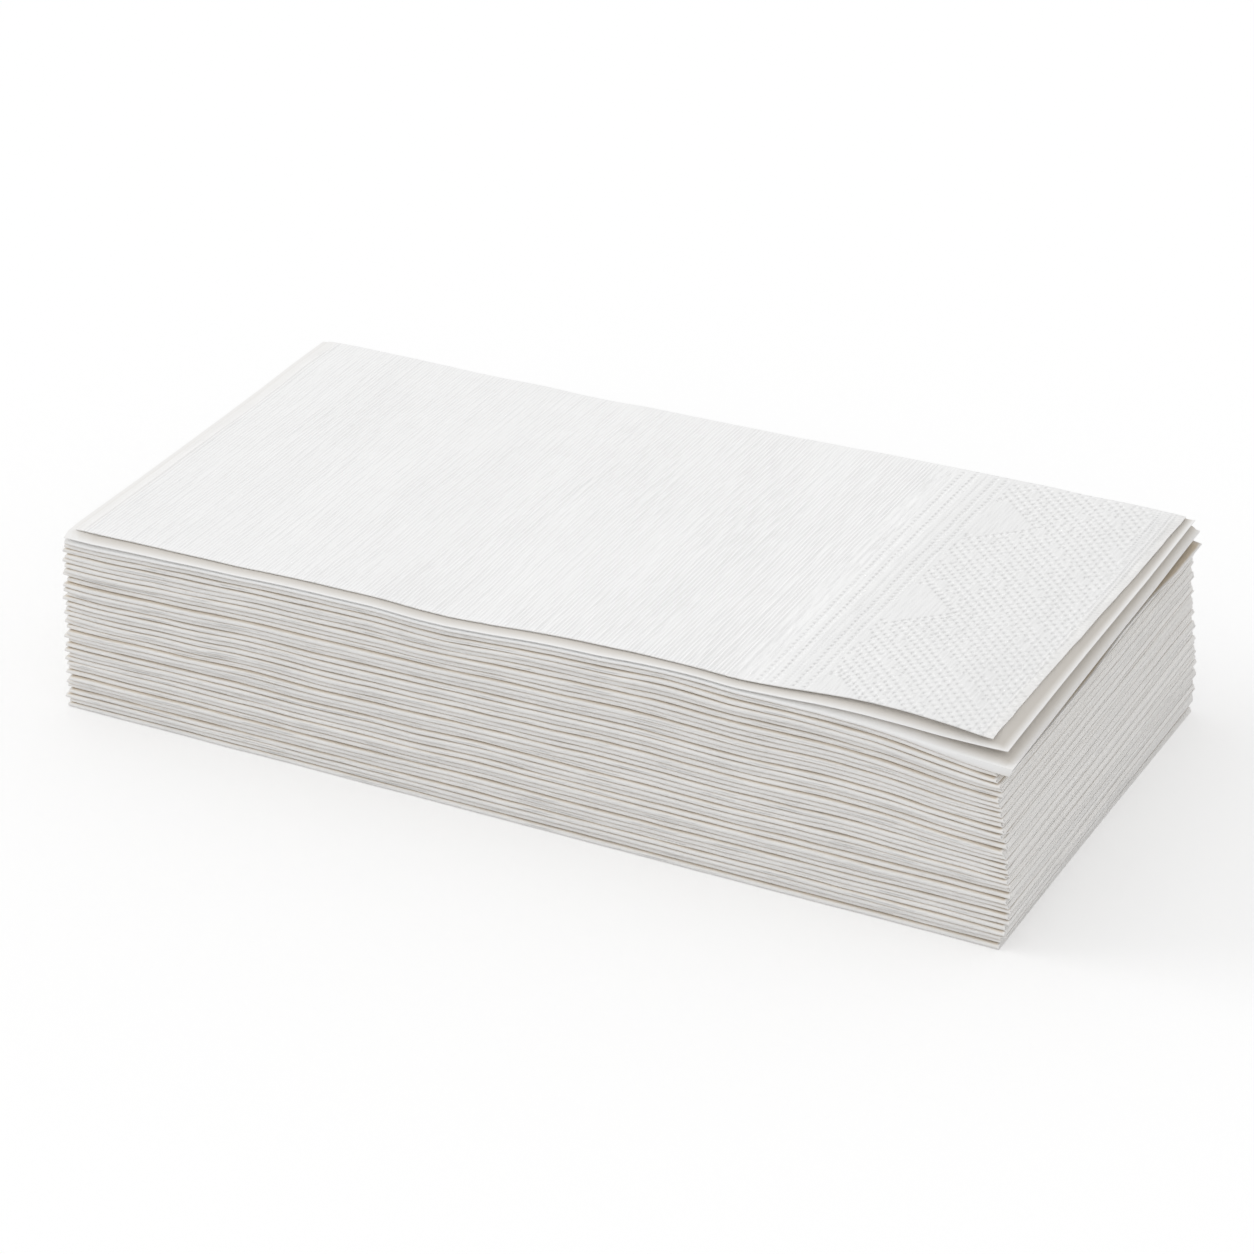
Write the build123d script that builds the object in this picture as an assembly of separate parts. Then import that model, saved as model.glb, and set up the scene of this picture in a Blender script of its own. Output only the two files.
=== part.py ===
from build123d import *
import math
import os

# A stack of folded paper napkins, in millimetres with +Z up. The stack stands on Z = 0 with
# the middle of its footprint at the origin. X runs along the long side, from the crease at
# the left to the cut edges at the right, and -Y is the front.
#
# Each napkin is one sheet of tissue. It is folded across in half, which presses two sheets
# together as one leaf, and then twice in half along its length, which gives four leaves held
# by an outer fold, an inner fold and a back fold.

# The open sheet and the folded leaf
sheet_length = 400.0
sheet_width = 412.0
crosswise_layers = 2
lengthwise_leaves = 4
leaf_thickness = 0.225
slit_gap = 0.035

# The stack. The air between napkins swings along the length: least at the creased left end,
# most towards the embossed border, less again at the right end.
napkin_count = 36
napkin_gap = 0.085
gap_swing_share = 0.45
gap_swing_turn = 3.7
gap_swing_start = 0.67

# The outer fold is blunt and the back fold, which wraps less, comes to a ridge. These shares
# of what each fold wraps are how deep its corners are broken.
outer_fold_corner_share = 0.3
back_fold_corner_share = 0.5

# How far single napkins are out of line
slip_along = 0.45
slip_across = 0.3
turn_degrees = 0.12
scatter_steps = (2.4, 1.9, 1.3)

# Soft waves along the stack, from none at the bottom to the most at the top. Each wave is a
# share of the height, how many times it repeats along the napkin, and where it starts.
wave_growth_share = 0.08
wave_shares = ((0.75, 1.15, 0.9), (0.25, 2.0, 3.4))
wave_drift_share = 1.0
wave_span_count = 8

# The napkin on top is turned over, so its loose leaves face the front and stand open. Its
# first two leaves gape at the right end, where they stop short of the others, and the first
# one is short all round.
top_leaf_lift = 1.2
top_leaf_end_lift = 2.3
second_leaf_lift = 0.3
second_leaf_end_lift = 0.8
end_lift_power = 4
top_leaf_short_front = 1.8
top_leaf_short_left = 2.0
top_leaf_short_right = 4.3
second_leaf_short_right = 1.4
trim_overrun = 3.0

folded_length = sheet_length / crosswise_layers
folded_width = sheet_width / lengthwise_leaves
half_length = folded_length / 2
half_width = folded_width / 2
leaf_step = leaf_thickness + slit_gap
napkin_thickness = leaf_step * (lengthwise_leaves - 1) + leaf_thickness
napkin_pitch = napkin_thickness + napkin_gap
top_leaf_lifts = (top_leaf_lift, top_leaf_end_lift)
second_leaf_lifts = (second_leaf_lift, second_leaf_end_lift)


def fold_section(first=(0, 0), second=(0, 0), first_short=0):
    """Corners of the folded sheet's cross-section, as (across, up, (lift, end lift)).

    Across runs from the outer fold to the loose edges, and up starts under the first leaf.
    The path goes once round the sheet: along its outer side from the first leaf's loose edge
    to the second leaf's, and back along its inner side. First and second are the lifts of
    those two leaves.
    """
    outer = outer_fold_corner_share * napkin_thickness
    back = back_fold_corner_share * (leaf_step + leaf_thickness)
    second_up = leaf_step
    third_up = leaf_step * 2
    fourth_up = napkin_thickness - leaf_thickness
    first_edge = folded_width - first_short
    inner_end = leaf_step + leaf_thickness
    flat = (0, 0)
    return [
        (first_edge, 0, first),
        (outer, 0, first),
        (0, outer, first),
        (0, napkin_thickness - outer, flat),
        (outer, napkin_thickness, flat),
        (folded_width - back, napkin_thickness, flat),
        (folded_width, napkin_thickness - back, flat),
        (folded_width - back, third_up, flat),
        (inner_end, third_up, flat),
        (inner_end, second_up + leaf_thickness, second),
        (folded_width, second_up + leaf_thickness, second),
        (folded_width, second_up, second),
        (leaf_step, second_up, second),
        (leaf_step, third_up + leaf_thickness, flat),
        (folded_width - leaf_thickness, third_up + leaf_thickness, flat),
        (folded_width - leaf_thickness, fourth_up, flat),
        (leaf_thickness, fourth_up, flat),
        (leaf_thickness, leaf_thickness, first),
        (first_edge, leaf_thickness, first),
    ]


def trim_section(leaves, above, below):
    """Section that covers the outer leaves, as far as the middle of the slit next to them."""
    slit_middle = leaf_step * leaves - slit_gap / 2
    middle = tuple((one + other) / 2 for one, other in zip(above, below))
    return [
        (-trim_overrun, slit_middle, middle),
        (folded_width + trim_overrun, slit_middle, middle),
        (folded_width + trim_overrun, -trim_overrun, top_leaf_lifts),
        (-trim_overrun, -trim_overrun, top_leaf_lifts),
    ]


def opening(x, across, lifts):
    """How far a leaf of the top napkin is lifted: most at the front, all over at the end."""
    lift, end_lift = lifts
    front_share = across / folded_width
    end_share = (x / folded_length + 0.5) ** end_lift_power
    return lift * front_share * (1 - end_share) + end_lift * end_share


def height_swing(x, level):
    """How far the air in the stack and its soft waves raise a napkin at x."""
    along = x / folded_length
    swing = gap_swing_share * math.sin(gap_swing_turn * along + gap_swing_start)
    drift = wave_drift_share * level / napkin_count
    waves = sum(
        part * math.sin(2 * math.pi * repeats * along + start + drift)
        for part, repeats, start in wave_shares
    )
    return napkin_gap * level * (swing + wave_growth_share * waves)


def scatter(level, kind):
    """A number from -1 to 1 that differs from napkin to napkin, and is 0 at the bottom."""
    return math.sin(level * scatter_steps[kind])


def placed(x, across, up, lifts, level, turned_over):
    """A point of a napkin in the stack, slipped, turned and raised with its level."""
    y = half_width - across if turned_over else across - half_width
    up = napkin_thickness - up + opening(x, across, lifts) if turned_over else up
    z = level * napkin_pitch + up
    turn = math.radians(turn_degrees) * scatter(level, 2)
    x_turned = x * math.cos(turn) - y * math.sin(turn) + slip_along * scatter(level, 0)
    y_turned = x * math.sin(turn) + y * math.cos(turn) + slip_across * scatter(level, 1)
    return Vector(x_turned, y_turned, z + height_swing(x_turned, level))


def waved_solid(section, start, end, level, turned_over=False):
    """The section carried along the napkin from start to end on waved rails."""
    spans = wave_span_count if level else 1
    shares = [station / spans for station in range(spans + 1)]
    rails = [
        [placed(start + (end - start) * share, *corner, level, turned_over) for share in shares]
        for corner in section
    ]
    if not level:
        end_face = Face(Wire.make_polygon([rail[0] for rail in rails], close=True))
        return Solid.extrude(end_face, rails[0][-1] - rails[0][0])
    edges = [Edge.make_spline(rail, parameters=shares) for rail in rails]
    sides = [
        Face.make_surface_from_curves(edge, edges[index - 1]) for index, edge in enumerate(edges)
    ]
    ends = [
        Face(Wire.make_polygon([rail[station] for rail in rails], close=True))
        for station in (0, -1)
    ]
    return Solid(Shell(sides + ends))


def lower_napkin(level):
    """One napkin with its outer fold at the front."""
    return waved_solid(fold_section(), -half_length, half_length, level)


def top_napkin(level):
    """The turned-over napkin, with its outer leaves open and stepped back."""
    section = fold_section(top_leaf_lifts, second_leaf_lifts, top_leaf_short_front)
    napkin = waved_solid(section, -half_length, half_length, level, turned_over=True)
    first = trim_section(1, top_leaf_lifts, second_leaf_lifts)
    second = trim_section(2, second_leaf_lifts, (0, 0))
    past_left = -half_length - trim_overrun
    past_right = half_length + trim_overrun
    cuts = (
        (first, past_left, top_leaf_short_left - half_length),
        (first, half_length - top_leaf_short_right, past_right),
        (second, half_length - second_leaf_short_right, past_right),
    )
    for trim, start, end in cuts:
        napkin -= waved_solid(trim, start, end, level, turned_over=True)
    return napkin


def stack():
    """Every napkin by its node name, from the bottom up."""
    top = napkin_count - 1
    napkins = {f"napkin_{level + 1:02d}": lower_napkin(level) for level in range(top)}
    napkins[f"napkin_{napkin_count:02d}"] = top_napkin(top)
    return napkins


os.makedirs("parts", exist_ok=True)
for name, napkin in stack().items():
    export_step(napkin, f"parts/{name}.step")
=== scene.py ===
"""A stack of folded paper napkins, laid napkin by napkin over its CAD frame.

Every napkin is one sheet of tissue. Its cross-section is followed from the first leaf's loose
edge, round the outer fold, along the fourth leaf, round the back fold, along the third leaf,
round the inner fold and out along the second leaf. Geometry Nodes lay each sheet in the stack,
and press the border into the leaf on top. Sizes are in metres.
"""

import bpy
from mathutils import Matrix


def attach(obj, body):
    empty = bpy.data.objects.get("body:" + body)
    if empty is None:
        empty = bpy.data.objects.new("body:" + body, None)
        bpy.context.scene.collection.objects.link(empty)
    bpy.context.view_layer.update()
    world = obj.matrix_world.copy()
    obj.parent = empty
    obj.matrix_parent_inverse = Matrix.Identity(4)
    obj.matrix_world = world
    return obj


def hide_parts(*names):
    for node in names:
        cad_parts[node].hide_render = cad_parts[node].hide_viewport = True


bl_info = {
    "name": "Stack of Paper Napkins",
    "version": (1, 0, 0),
    "blender": (4, 5, 0),
    "location": "View3D > Sidebar > Napkins",
    "description": "Lays a stack of folded, embossed paper napkins",
    "category": "Object",
}

import math
from functools import reduce

import bmesh
import bpy
import numpy as np
from bpy.props import FloatProperty, FloatVectorProperty, IntProperty, PointerProperty
from bpy.types import Operator, Panel, PropertyGroup
from mathutils import Matrix, Vector

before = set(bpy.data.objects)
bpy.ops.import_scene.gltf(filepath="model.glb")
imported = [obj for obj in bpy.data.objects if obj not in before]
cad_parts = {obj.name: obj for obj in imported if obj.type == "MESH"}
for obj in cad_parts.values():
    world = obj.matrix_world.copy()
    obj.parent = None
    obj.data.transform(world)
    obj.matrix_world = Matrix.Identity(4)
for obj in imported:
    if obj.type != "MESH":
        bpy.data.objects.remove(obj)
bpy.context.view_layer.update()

MM = 0.001
BODY = "root"
NODES = sorted(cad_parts)
SHARP_ANGLE = math.radians(60)


# Node trees ------------------------------------------------------------------------------


def feed(tree, socket, value):
    """Link a field to a socket, or write a plain value on it."""
    if isinstance(value, Field):
        tree.links.new(value.socket, socket)
    else:
        socket.default_value = value


class Field:
    """A number that varies over a surface. Sums with fields add Math nodes to their tree."""

    def __init__(self, tree, socket):
        self.tree = tree
        self.socket = socket

    def math(self, operation, *others):
        node = self.tree.nodes.new("ShaderNodeMath")
        node.operation = operation
        for socket, value in zip(node.inputs, (self, *others)):
            feed(self.tree, socket, value)
        return Field(self.tree, node.outputs[0])

    def __add__(self, other):
        return self.math("ADD", other)

    def __sub__(self, other):
        return self.math("SUBTRACT", other)

    def __mul__(self, other):
        return self.math("MULTIPLY", other)

    def __truediv__(self, other):
        return self.math("DIVIDE", other)

    def __rsub__(self, other):
        return (self * -1.0) + other

    __radd__ = __add__
    __rmul__ = __mul__

    def ramp(self, low, high, smooth=True):
        """0 up to low and 1 from high on."""
        node = self.tree.nodes.new("ShaderNodeMapRange")
        node.interpolation_type = "SMOOTHSTEP" if smooth else "LINEAR"
        feed(self.tree, node.inputs["Value"], self)
        feed(self.tree, node.inputs["From Min"], low)
        feed(self.tree, node.inputs["From Max"], high)
        return Field(self.tree, node.outputs["Result"])


def centred(field, period):
    """The distance to the nearest whole number of periods, from minus to plus half."""
    half = period * 0.5
    return (field + half).math("FLOORED_MODULO", period) - half


def least(*fields):
    """The smallest of some fields."""
    return reduce(lambda one, other: one.math("MINIMUM", other), fields)


def most(*fields):
    """The largest of some fields."""
    return reduce(lambda one, other: one.math("MAXIMUM", other), fields)


def joined(tree, x, y, z):
    node = tree.nodes.new("ShaderNodeCombineXYZ")
    for socket, value in zip(node.inputs, (x, y, z)):
        feed(tree, socket, value)
    return Field(tree, node.outputs[0])


def parted(tree, vector):
    node = tree.nodes.new("ShaderNodeSeparateXYZ")
    feed(tree, node.inputs[0], vector)
    return [Field(tree, socket) for socket in node.outputs]


def noise(tree, x, y, z, detail=1.0):
    """Smooth noise from about -1 to 1."""
    node = tree.nodes.new("ShaderNodeTexNoise")
    feed(tree, node.inputs["Vector"], joined(tree, x, y, z))
    node.inputs["Scale"].default_value = 1.0
    node.inputs["Detail"].default_value = detail
    return Field(tree, node.outputs["Fac"]) * 2.0 - 1.0


def read(tree, name):
    """A float attribute, read inside a geometry tree."""
    node = tree.nodes.new("GeometryNodeInputNamedAttribute")
    node.data_type = "FLOAT"
    node.inputs["Name"].default_value = name
    return Field(tree, node.outputs["Attribute"])


class SurfaceTree:
    """A geometry tree with a mesh, named number inputs and a material, under construction."""

    def __init__(self, name, numbers):
        tree = bpy.data.node_groups.new(name, "GeometryNodeTree")
        tree.is_modifier = True
        face = tree.interface
        face.new_socket("Geometry", in_out="INPUT", socket_type="NodeSocketGeometry")
        for label, default in numbers.items():
            socket = face.new_socket(label, in_out="INPUT", socket_type="NodeSocketFloat")
            socket.default_value = default
        face.new_socket("Material", in_out="INPUT", socket_type="NodeSocketMaterial")
        face.new_socket("Geometry", in_out="OUTPUT", socket_type="NodeSocketGeometry")
        entry = tree.nodes.new("NodeGroupInput")
        self.tree = tree
        self.given = {label: Field(tree, entry.outputs[label]) for label in numbers}
        self.material = entry.outputs["Material"]
        self.geometry = entry.outputs["Geometry"]

    def through(self, kind):
        node = self.tree.nodes.new(kind)
        self.tree.links.new(self.geometry, node.inputs["Geometry"])
        self.geometry = node.outputs["Geometry"]
        return node

    def store(self, name, value):
        node = self.through("GeometryNodeStoreNamedAttribute")
        node.data_type = "FLOAT"
        node.domain = "POINT"
        node.inputs["Name"].default_value = name
        feed(self.tree, node.inputs["Value"], value)

    def place(self, x, y, z):
        node = self.through("GeometryNodeSetPosition")
        feed(self.tree, node.inputs["Position"], joined(self.tree, x, y, z))

    def shift(self, vector):
        node = self.through("GeometryNodeSetPosition")
        feed(self.tree, node.inputs["Offset"], vector)

    def finish(self):
        self.through("GeometryNodeRealizeInstances")
        node = self.through("GeometryNodeSetMaterial")
        self.tree.links.new(self.material, node.inputs["Material"])
        leave = self.tree.nodes.new("NodeGroupOutput")
        self.tree.links.new(self.geometry, leave.inputs["Geometry"])
        return self.tree


def use_tree(piece, tree, material, values):
    """Add the tree as a modifier, its inputs set by their identifiers."""
    modifier = piece.modifiers.new(tree.name, "NODES")
    modifier.node_group = tree
    sockets = {
        item.name: item.identifier
        for item in tree.interface.items_tree
        if item.in_out == "INPUT"
    }
    for label, value in values.items():
        modifier[sockets[label]] = float(value)
    modifier[sockets["Material"]] = material
    return modifier


def baked(piece, name):
    """The piece's evaluated mesh as a plain object, in its place."""
    graph = bpy.context.evaluated_depsgraph_get()
    graph.update()
    mesh = bpy.data.meshes.new_from_object(
        piece.evaluated_get(graph), preserve_all_data_layers=True, depsgraph=graph
    )
    old = piece.data
    bpy.data.objects.remove(piece)
    if not old.users:
        bpy.data.meshes.remove(old)
    if not mesh.polygons:
        raise RuntimeError(f"{name} came out empty")
    mesh.name = name
    return linked(name, mesh)


def linked(name, data):
    piece = bpy.data.objects.new(name, data)
    bpy.context.scene.collection.objects.link(piece)
    return piece


# The folded sheet ------------------------------------------------------------------------


class StackSizes(PropertyGroup):
    length: FloatProperty(
        name="Folded length",
        description="Length of a folded napkin, from its crease to its cut edges",
        default=200 * MM,
        unit="LENGTH",
    )
    width: FloatProperty(
        name="Folded width",
        description="Width of a folded napkin, from its outer fold to its loose edges",
        default=103 * MM,
        unit="LENGTH",
    )
    leaf: FloatProperty(
        name="Leaf thickness",
        description="Thickness of one leaf, which is two sheets of tissue pressed together",
        default=0.235 * MM,
        unit="LENGTH",
    )
    leaf_step: FloatProperty(
        name="Leaf step",
        description="Height from one leaf to the next inside a napkin",
        default=0.26 * MM,
        unit="LENGTH",
    )
    pitch: FloatProperty(
        name="Napkin pitch",
        description="Height from one napkin to the next",
        default=1.09 * MM,
        unit="LENGTH",
    )
    air: FloatProperty(
        name="Air",
        description="Height of the air between napkins, which swings along the stack",
        default=0.085 * MM,
        unit="LENGTH",
    )
    slip_along: FloatProperty(
        name="Slip along",
        description="How far napkins are out of line along their length",
        default=0.45 * MM,
        unit="LENGTH",
    )
    slip_across: FloatProperty(
        name="Slip across",
        description="How far napkins are out of line across their width",
        default=0.3 * MM,
        unit="LENGTH",
    )
    turn: FloatProperty(
        name="Turn",
        description="How far napkins are turned",
        default=math.radians(0.12),
        subtype="ANGLE",
    )
    corner_droop: FloatProperty(
        name="Corner droop",
        description="How far the top of the stack sinks at its front right corner",
        default=2.6 * MM,
        unit="LENGTH",
    )
    seed: IntProperty(
        name="Seed", description="Which creases and ripples the paper has", default=3
    )


def arc(centre, reach, low, high, count):
    """Points (across, up) of a fold, between its two ends, which it leaves out."""
    turns = np.linspace(0, math.pi, count + 2)[1:-1]
    middle = (low + high) / 2
    return centre + reach * np.sin(turns), middle - (high - low) / 2 * np.cos(turns)


def spread(start, end, count, crowding):
    """Stations from start to end, closer together near both ends."""
    share = np.linspace(0, 1, count)
    share = share - crowding * np.sin(2 * math.pi * share) / (2 * math.pi)
    return start + (end - start) * share


# Rows of points on each leaf and round each fold, and how much they crowd at a leaf's ends
LEAF_ROWS = 12
LEAF_CROWDING = 0.86
OUTER_FOLD_ROWS = 9
INNER_FOLD_ROWS = 4

# How far each fold bulges, and where the inner fold starts
OUTER_FOLD_REACH = 0.33 * MM
INNER_FOLD_REACH = 0.16 * MM
INNER_FOLD_START = 0.7 * MM


class FoldedSheet:
    """Rows of points along the cross-section, with what the node trees need to know."""

    def __init__(self, sizes, first_leaf=None):
        step = sizes.leaf_step
        half = sizes.leaf / 2
        outer_middle = half + OUTER_FOLD_REACH
        inner_middle = INNER_FOLD_START
        back_middle = sizes.width - half - INNER_FOLD_REACH
        heights = [half + step * leaf for leaf in range(4)]
        leaf_rows = spread(0, 1, LEAF_ROWS, LEAF_CROWDING)
        first = leaf_rows if first_leaf is None else first_leaf
        parts = [
            (*self.leaf(sizes.width, outer_middle, heights[0], first), 1, 1),
            (*arc(outer_middle, -OUTER_FOLD_REACH, heights[0], heights[3], OUTER_FOLD_ROWS), 1, 4),
            (*self.leaf(outer_middle, back_middle, heights[3], leaf_rows), 4, 4),
            (*arc(back_middle, INNER_FOLD_REACH, heights[3], heights[2], INNER_FOLD_ROWS), 4, 3),
            (*self.leaf(back_middle, inner_middle, heights[2], leaf_rows), 3, 3),
            (*arc(inner_middle, -INNER_FOLD_REACH, heights[2], heights[1], INNER_FOLD_ROWS), 3, 2),
            (*self.leaf(inner_middle, sizes.width, heights[1], leaf_rows), 2, 2),
        ]
        names = ("across", "up", "leaf", "first", "second", "third")
        self.rows = {name: [] for name in names}
        for across, up, before, after in parts:
            share = np.linspace(0, 1, len(across))
            self.rows["across"].append(across)
            self.rows["up"].append(up)
            self.rows["leaf"].append(before + (after - before) * share)
            for number, name in enumerate(names[3:], start=1):
                weight = (before == number) * (1 - share) + (after == number) * share
                self.rows[name].append(weight)
        self.rows = {name: np.concatenate(row) for name, row in self.rows.items()}

    @staticmethod
    def leaf(start, end, height, shares):
        across = start + (end - start) * shares
        return across, across * 0 + height

    def mesh(self, name, stations):
        """One open grid: a row of stations along X for each point of the cross-section."""
        rows, columns = len(self.rows["across"]), len(stations)
        values = {key: np.repeat(row, columns) for key, row in self.rows.items()}
        values["along"] = np.tile(stations, rows)
        points = np.stack([values["along"], values["across"], values["up"]], axis=1)
        first = np.arange(rows - 1)[:, None] * columns + np.arange(columns - 1)[None, :]
        faces = np.stack([first, first + 1, first + columns + 1, first + columns], axis=-1)
        mesh = bpy.data.meshes.new(name)
        mesh.from_pydata(points.tolist(), [], faces.reshape(-1, 4).tolist())
        for key, value in values.items():
            layer = mesh.attributes.new(key, "FLOAT", "POINT")
            layer.data.foreach_set("value", value.astype(np.float32))
        return mesh


def stations(length, spacing, near_end):
    """Stations along a napkin: even ones, and some close to each end."""
    half = length / 2
    reach = near_end[-1]
    inside = np.linspace(reach - half, half - reach, round((length - 2 * reach) / spacing) + 1)
    left = [distance - half for distance in near_end[:-1]]
    right = [half - distance for distance in reversed(near_end[:-1])]
    return np.concatenate([left, inside, right])


# How a sheet lies in the stack -----------------------------------------------------------


# The air's swing along a napkin, and the soft waves: share of the height, repeats and start
SWING_SHARE, SWING_TURN, SWING_START = 0.45, 3.7, 0.67
WAVE_SHARE = 0.08
WAVES = ((0.75, 1.15, 0.9), (0.25, 2.0, 3.4))

# Where the front edge of the upper napkins dips and rises: middle, reach and depth
FRONT_EDGE_WAVES = ((-13 * MM, 22 * MM, 0.75 * MM), (33 * MM, 15 * MM, -0.45 * MM))

# How far the top napkin's first three leaves are lifted along their middle, at the front and
# the back, and at the right end, at the front and the back
TOP_LEAF_LIFTS = (
    (1.2 * MM, 1.6 * MM, 2.7 * MM, 3.1 * MM),
    (0.3 * MM, 0.8 * MM, 0.6 * MM, 2.0 * MM),
    (0.0, 0.3 * MM, 0.0, 0.9 * MM),
)

# How much of the warm painted shade the strips under the lifted leaves take
STRIP_SHADE_WARMTH = 0.62


def stack_tree(sizes, turned_over):
    """Geometry Nodes that lay a folded sheet at its level of the stack.

    Heights are taken in the loose stack first, and then moved together, so no leaf passes
    through its neighbour: a leaf's move depends smoothly on its height.
    """
    numbers = {
        "Level": 0.0,
        "Length": sizes.length,
        "Width": sizes.width,
        "Leaf Step": sizes.leaf_step,
        "Leaf Thickness": sizes.leaf,
        "Pitch": sizes.pitch,
        "Stack Height": sizes.pitch * len(NODES),
        "Air": sizes.air,
        "Slip Along": sizes.slip_along,
        "Slip Across": sizes.slip_across,
        "Turn": sizes.turn,
        "Corner Droop": sizes.corner_droop,
        "Seed": sizes.seed,
    }
    work = SurfaceTree("Napkin turned over" if turned_over else "Napkin in the stack", numbers)
    tree, given = work.tree, work.given
    level, length, width, pitch = (given[k] for k in ("Level", "Length", "Width", "Pitch"))
    seed = given["Seed"] * 17.0
    along, across, up, leaf = (read(tree, k) for k in ("along", "across", "up", "leaf"))
    first, second, third = (read(tree, k) for k in ("first", "second", "third"))
    share = along / length + 0.5
    thickness = given["Leaf Step"] * 3.0 + given["Leaf Thickness"]
    to_right = length * 0.5 - along
    to_left = length * 0.5 + along
    right_end = to_right.ramp(6 * MM, 0.0)
    left_end = to_left.ramp(5 * MM, 0.0)

    # Leaves press together at both ends of a napkin
    own = (level * 4.7).math("SINE").math("ABSOLUTE")
    squeeze = 1.0 - 0.3 * to_left.ramp(1.4 * MM, 0.0)
    squeeze = squeeze + to_right.ramp(6 * MM, 0.0) * (0.03 - own * 0.16)
    if turned_over:
        up = thickness - up
        y = width * 0.5 - across
        front_share = across / width
    else:
        y = across - width * 0.5
        front_share = 1.0 - across / width
        puff = noise(tree, along / (26 * MM), level * 3.3, seed + 31.0) * 0.1 - 0.015
        puff = puff + (level * 5.1).math("SINE") * 0.025
        pinch = noise(tree, level * 2.9, seed + 5.0, 0.0).ramp(-0.3, 0.4) * 0.2 + 0.03
        puff = puff - to_right.ramp(7 * MM, 1 * MM) * pinch
        squeeze = squeeze + front_share.ramp(0.95, 1.0) * puff
    up = thickness * 0.5 + (up - thickness * 0.5) * squeeze
    height = level * pitch + up
    height_share = height / given["Stack Height"]

    # Ends of the leaves: the right ends step in and out in plates, each leaf a little apart
    scatter = noise(tree, leaf * 7.3 + seed, across / (40 * MM), level * 5.1)
    long_scatter = noise(tree, height / (1.9 * MM), across / (60 * MM), seed + 9.0)
    per_napkin = (level * 2.4).math("SINE")
    count = height / pitch * 0.4 + noise(tree, height / (7 * MM), across / (120 * MM), seed) * 0.6
    plates = (0.5 - count.math("FRACT")) * 2.0
    x = along + given["Slip Along"] * (
        per_napkin * (1.0 - share.ramp(0.8, 1.0)) + plates * share.ramp(0.8, 1.0)
    )
    x = x + right_end * (scatter * (0.1 * MM) + long_scatter * (0.25 * MM) - 0.25 * MM)
    x = x + left_end * (scatter * (0.12 * MM) - (1.0 - height_share) * (0.8 * MM))
    if not turned_over:
        out = height.ramp(0.0, 5 * MM) - height.ramp(8 * MM, 36 * MM) * 2.6 + 0.3
        aslant = height.ramp(0.0, 6 * MM) * 0.7 - height.ramp(22 * MM, 32 * MM) * 0.3
        out = out - aslant * (y / (52 * MM)) - height_share.ramp(0.86, 0.97) * front_share * 0.8
        x = x + out * share.ramp(0.4, 1.0) * MM
    else:
        back_share = 1.0 - front_share
        x = x + first * (1.3 * MM * (1.0 - share) - 4.0 * MM * share)
        x = x - second * share * (0.9 * MM + 1.4 * MM * back_share)
        x = x + third * share * (0.8 * MM - 1.9 * MM * back_share)
        x = x + first * right_end * 0.3 * MM * noise(tree, y / (9 * MM), seed, 2.0)
        y = y + first * front_share * (2.2 * MM)
        y = y + second * front_share * share.math("POWER", 8.0) * (1.8 * MM)
        ear = to_right.ramp(26 * MM, 0.0).math("POWER", 2.0) * back_share.math("POWER", 6.0)
        y = y + (first * 1.5 + second * 2.1 + third * 1.8) * ear * MM
        in_fold = (leaf - (leaf + 0.5).math("FLOOR")).math("ABSOLUTE").ramp(0.0, 0.2)
        x = x - in_fold * back_share * to_right.ramp(12 * MM, 0.0) * (5 * MM)

    # Folds wander in and out, each on its own
    near_front = front_share.ramp(0.93, 1.0)
    near_back = front_share.ramp(0.07, 0.0)
    fold_wander = noise(tree, along / (14 * MM), level * 9.7, seed + 4.0, detail=2.0)
    slow_wander = noise(tree, along / (70 * MM), level * 0.37, seed)
    back_wander = noise(tree, along / (18 * MM), level * 8.3 + leaf * 3.1, seed + 2.0)
    y = y + near_front * (fold_wander * (0.16 * MM) + slow_wander * (0.3 * MM))
    dent = noise(tree, along / (24 * MM), level * 6.1, seed + 13.0).ramp(0.15, 0.5)
    crest = (leaf - 2.5).math("ABSOLUTE").ramp(0.6, 0.0) * near_front.ramp(0.6, 1.0)
    y = y + dent * crest * (0.26 * MM)
    crinkle = noise(tree, along / (5 * MM), leaf * 1.7, level * 4.3 + seed, detail=2.0)
    y = y + crinkle * near_front.ramp(0.6, 1.0) * (0.07 * MM)
    y = y + near_back * back_wander * (0.25 * MM)
    y = y + given["Slip Across"] * (level * 1.9).math("SINE")
    turn = given["Turn"] * (level * 1.3).math("SINE")
    x, y = x - y * turn, y + x * turn

    # The air in the stack and its soft waves
    along_now = x / length
    swing = SWING_SHARE * (SWING_TURN * along_now + SWING_START).math("SINE")
    wave = sum(
        (2 * math.pi * repeats * along_now + start + height_share).math("SINE") * part
        for part, repeats, start in WAVES
    )
    z = height + given["Air"] * (height / pitch) * (swing + wave * WAVE_SHARE)
    ripple = noise(tree, x / (38 * MM), y / (50 * MM) + seed, height / (30 * MM))
    small_ripple = noise(tree, x / (13 * MM), y / (24 * MM), height / (4.5 * MM) + seed)
    z = z + ripple * (0.85 * MM) * height_share.ramp(0.0, 0.4)
    z = z + small_ripple * (0.16 * MM) * height_share.ramp(0.0, 0.12)
    own_ripple = noise(tree, along / (15 * MM), level * 7.7, seed + 21.0, detail=2.0)
    z = z + own_ripple * near_front * (0.19 * MM) * height_share.ramp(0.0, 0.05)
    flap = noise(tree, level * 5.3, seed, 1.0) * x.ramp(80 * MM, 101 * MM) * near_front
    z = z + flap * (0.35 * MM) * height_share.ramp(0.0, 0.1)

    # The front edge of the upper napkins dips once and rises once
    at_front = y.ramp(-10 * MM, -50 * MM) * height_share.ramp(0.75, 1.0)
    for middle, reach, depth in FRONT_EDGE_WAVES:
        z = z - (x - middle).math("ABSOLUTE").ramp(reach, 0.0) * at_front * depth

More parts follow.
